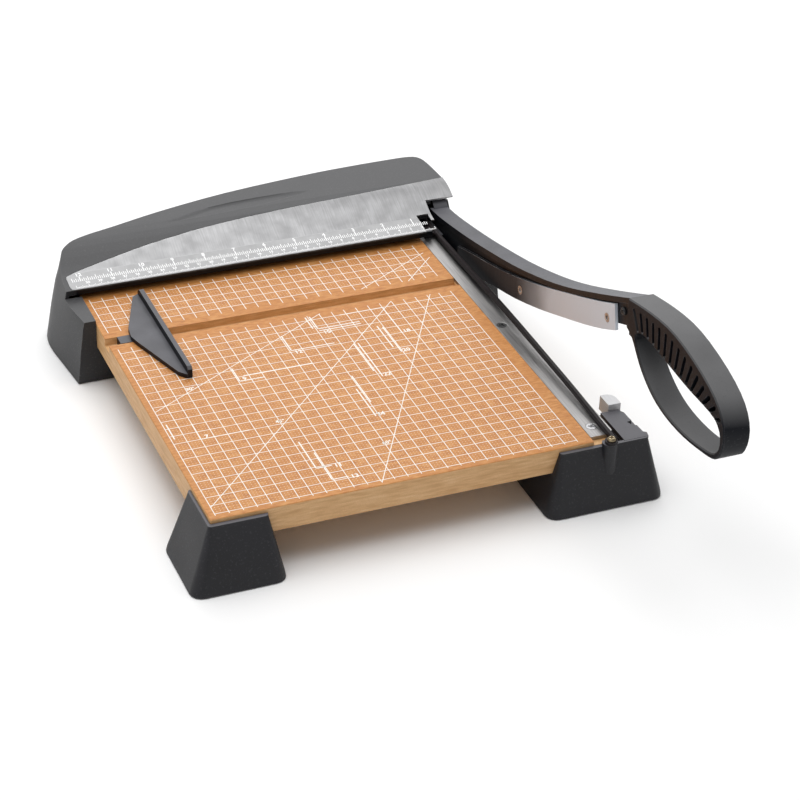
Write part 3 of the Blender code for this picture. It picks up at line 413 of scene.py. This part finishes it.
def deck_hollow():
    """Shallow lens-shaped finger hollow, cut into the deck by a hidden shape."""
    centre = Vector(HOLLOW_CENTRE)
    shape = bmesh.new()
    rings = []
    for z, share in HOLLOW_LEVELS:
        ring = [centre + (Vector(spot) - centre) * share for spot in HOLLOW_FRONT + HOLLOW_REAR]
        rings.append([shape.verts.new((x, y, z)) for x, y in ring])
    for lower, upper in zip(rings, rings[1:]):
        for i in range(len(lower)):
            j = (i + 1) % len(lower)
            shape.faces.new((lower[i], lower[j], upper[j], upper[i]))
    shape.faces.new(rings[0][::-1])
    shape.faces.new(rings[-1])
    bmesh.ops.recalc_face_normals(shape, faces=shape.faces)
    for vert in shape.verts:
        vert.co = point(*vert.co)
    mesh = bpy.data.meshes.new("deck_hollow_cutter")
    shape.to_mesh(mesh)
    shape.free()
    cutter = bpy.data.objects.new("deck_hollow_cutter", mesh)
    bpy.context.scene.collection.objects.link(cutter)
    cutter.hide_render = True
    cutter.display_type = "WIRE"
    step = NODES["rear_housing"].modifiers.new("hollow", "BOOLEAN")
    step.operation = "DIFFERENCE"
    step.solver = "EXACT"
    step.object = cutter


def strip(shape, start, end, width, height):
    """A thin bar printed along a line; start and end hold x, y and the z of the surface."""
    start, end = Vector(start), Vector(end)
    along = (end - start).normalized()
    side = Vector((-along.y, along.x, 0)).normalized() * width / 2
    rings = []
    for z in (-PRINT_SINK, height):
        rings.append([shape.verts.new(corner + Vector((0, 0, z)))
                      for corner in (start - side, end - side, end + side, start + side)])
    lower, upper = rings
    shape.faces.new(lower[::-1])
    shape.faces.new(upper)
    for i in range(4):
        j = (i + 1) % 4
        shape.faces.new((lower[i], lower[j], upper[j], upper[i]))


def numerals(shape, text, centre, size, slope=0.0):
    """Raised figures centred on a point, lying on a surface that rises by `slope` along +Y."""
    curve = bpy.data.curves.new("figures", "FONT")
    curve.body = text
    curve.size = size
    curve.align_x = "CENTER"
    curve.align_y = "CENTER"
    curve.extrude = FIGURE_DEPTH
    curve.offset = FIGURE_WEIGHT * size
    curve.resolution_u = 3
    holder = bpy.data.objects.new("figures", curve)
    bpy.context.scene.collection.objects.link(holder)
    bpy.context.view_layer.update()
    mesh = bpy.data.meshes.new_from_object(holder)
    first = len(shape.verts)
    shape.from_mesh(mesh)
    shape.verts.ensure_lookup_table()
    centre = Vector(centre)
    for vert in shape.verts[first:]:
        vert.co += centre + Vector((0, 0, vert.co.y * slope - FIGURE_SINK))
    bpy.data.objects.remove(holder)
    bpy.data.meshes.remove(mesh)
    bpy.data.curves.remove(curve)


def new_piece(name, shape, look, body):
    """An object from a shape drawn in board millimetres, riding on one body."""
    bmesh.ops.remove_doubles(shape, verts=shape.verts, dist=0.002)
    bmesh.ops.recalc_face_normals(shape, faces=shape.faces)
    for vert in shape.verts:
        vert.co = point(*vert.co)
    mesh = bpy.data.meshes.new(name)
    shape.to_mesh(mesh)
    shape.free()
    made = bpy.data.objects.new(name, mesh)
    bpy.context.scene.collection.objects.link(made)
    mesh.materials.append(look)
    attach(made, body)


def print_grid():
    shape = bmesh.new()
    for column in range(int(GRID_RIGHT / GRID_STEP) + 1):
        x = column * GRID_STEP
        for y0, y1 in (REAR_STRIP, MAIN_FIELD):
            strip(shape, (x, y0, 0), (x, y1, 0), GRID_LINE, PRINT_TOP)
    for row in [*REAR_ROWS, *MAIN_ROWS]:
        y = -row * GRID_STEP
        start, end = (-ROW_OVERRUN, y, 0), (GRID_RIGHT + ROW_OVERRUN, y, 0)
        strip(shape, start, end, GRID_LINE, PRINT_TOP + CROSS_RISE)
    new_piece("board_grid", shape, PRINT_LOOK, "base")


def print_marks():
    shape = bmesh.new()
    for (x0, y0), (x1, y1) in ANGLE_LINES:
        strip(shape, (x0, y0, 0), (x1, y1, 0), GRID_LINE, PRINT_TOP + ANGLE_RISE)
    for path in PAPER_MARKS:
        for start, end in zip(path, path[1:]):
            strip(shape, (*start, 0), (*end, 0), MARK_LINE, PRINT_TOP + MARK_RISE)
    new_piece("board_marks", shape, PRINT_LOOK, "base")
    shape = bmesh.new()
    for text, x, y in ANGLE_LABELS:
        numerals(shape, text + "°", (x, y, 0), ANGLE_LABEL_SIZE)
    dx, dy = PAPER_LABEL_SHIFT
    for text, x, y in PAPER_LABELS:
        numerals(shape, text, (x + dx, y + dy, 0), PAPER_LABEL_SIZE)
    new_piece("board_figures", shape, PRINT_LOOK, "base")


def band_point(x, y):
    (y0, z0), (y1, z1) = BAND
    return x, y, z0 + (z1 - z0) * (y - y0) / (y1 - y0)


def tick_top(index, tops):
    return tops[max(step for step in tops if index % step == 0)]


def print_ruler():
    slope = (BAND[1][1] - BAND[0][1]) / (BAND[1][0] - BAND[0][0])
    shape = bmesh.new()
    for index in INCH_TICKS:
        x = RULER_ZERO - index * INCH / SIXTEENTHS
        if x < PLATE_LEFT:
            continue
        width = WHOLE_INCH_TICK if index % SIXTEENTHS == 0 else INCH_TICK
        top = band_point(x, tick_top(index, INCH_TOPS))
        strip(shape, band_point(x, INCH_FOOT), top, width, PRINT_TOP)
    for index in MM_TICKS:
        x = RULER_ZERO - index
        top = band_point(x, tick_top(index, MM_TOPS))
        strip(shape, band_point(x, MM_FOOT), top, MM_TICK, PRINT_TOP)
    new_piece("ruler_ticks", shape, SCALE_LOOK, "base")
    shape = bmesh.new()
    for inch in range(1, INCHES + 1):
        centre = band_point(RULER_ZERO - inch * INCH, INCH_NUMERAL_Y)
        numerals(shape, str(inch), centre, INCH_NUMERAL, slope)
    for centimetre in range(2, CENTIMETRES + 1):
        centre = band_point(RULER_ZERO - centimetre * 10, CM_NUMERAL_Y)
        numerals(shape, str(centimetre), centre, CM_NUMERAL, slope)
    new_piece("ruler_figures", shape, SCALE_LOOK, "base")


def build_floor():
    shape = bmesh.new()
    corners = [(-1, -1), (1, -1), (1, 1), (-1, 1)]
    shape.faces.new([shape.verts.new((x * FLOOR_REACH, y * FLOOR_REACH, 0.0)) for x, y in corners])
    mesh = bpy.data.meshes.new("floor")
    shape.to_mesh(mesh)
    shape.free()
    floor = bpy.data.objects.new("floor", mesh)
    bpy.context.scene.collection.objects.link(floor)
    look = Look("paper_floor", specular=0.1)
    mottle = look.noise(3.0, 3.0)
    colour = look.ramp(mottle, [(0.3, (0.95, 0.95, 0.95)), (0.7, (0.97, 0.97, 0.97))])
    mesh.materials.append(look.done(colour, look.span(mottle, 0.2, 0.8, 0.8, 0.9)))


def softbox(name, at, target, width, height, radiance):
    """An area light with the given radiance, facing the target."""
    light = bpy.data.lights.new(name, "AREA")
    light.shape = "RECTANGLE"
    light.size = width
    light.size_y = height
    light.energy = radiance * math.pi * width * height
    holder = bpy.data.objects.new(name, light)
    bpy.context.scene.collection.objects.link(holder)
    holder.location = at
    holder.rotation_euler = (Vector(target) - Vector(at)).to_track_quat("-Z", "Y").to_euler()
    holder.visible_camera = False


def build_studio():
    world = bpy.data.worlds.new("studio")
    world.use_nodes = True
    background = world.node_tree.nodes["Background"]
    background.inputs["Color"].default_value = (1.0, 1.0, 1.0, 1.0)
    background.inputs["Strength"].default_value = WORLD_STRENGTH
    bpy.context.scene.world = world
    softbox("overhead", (-0.2, 0.3, 2.2), (0.0, 0.0, 0.0), width=2.6, height=2.6, radiance=2.6)
    softbox("backdrop", (1.1, 2.3, 1.5), (0.0, 0.0, 0.1), width=3.4, height=1.8, radiance=1.5)
    bpy.context.scene.view_settings.view_transform = "Standard"


def build_camera():
    data = bpy.data.cameras.new("camera")
    data.sensor_width = CAMERA_SENSOR
    data.lens = CAMERA_LENS
    data.clip_end = 50.0
    camera = bpy.data.objects.new("camera", data)
    bpy.context.scene.collection.objects.link(camera)
    camera.location = CAMERA_PLACE
    camera.rotation_euler = [math.radians(angle) for angle in CAMERA_TURN]
    bpy.context.scene.camera = camera


for part in frame["record"]["subparts"]:
    dress(part["node"], part["material_slot"])
print_grid()
print_marks()
print_ruler()
build_floor()
build_studio()
build_camera()
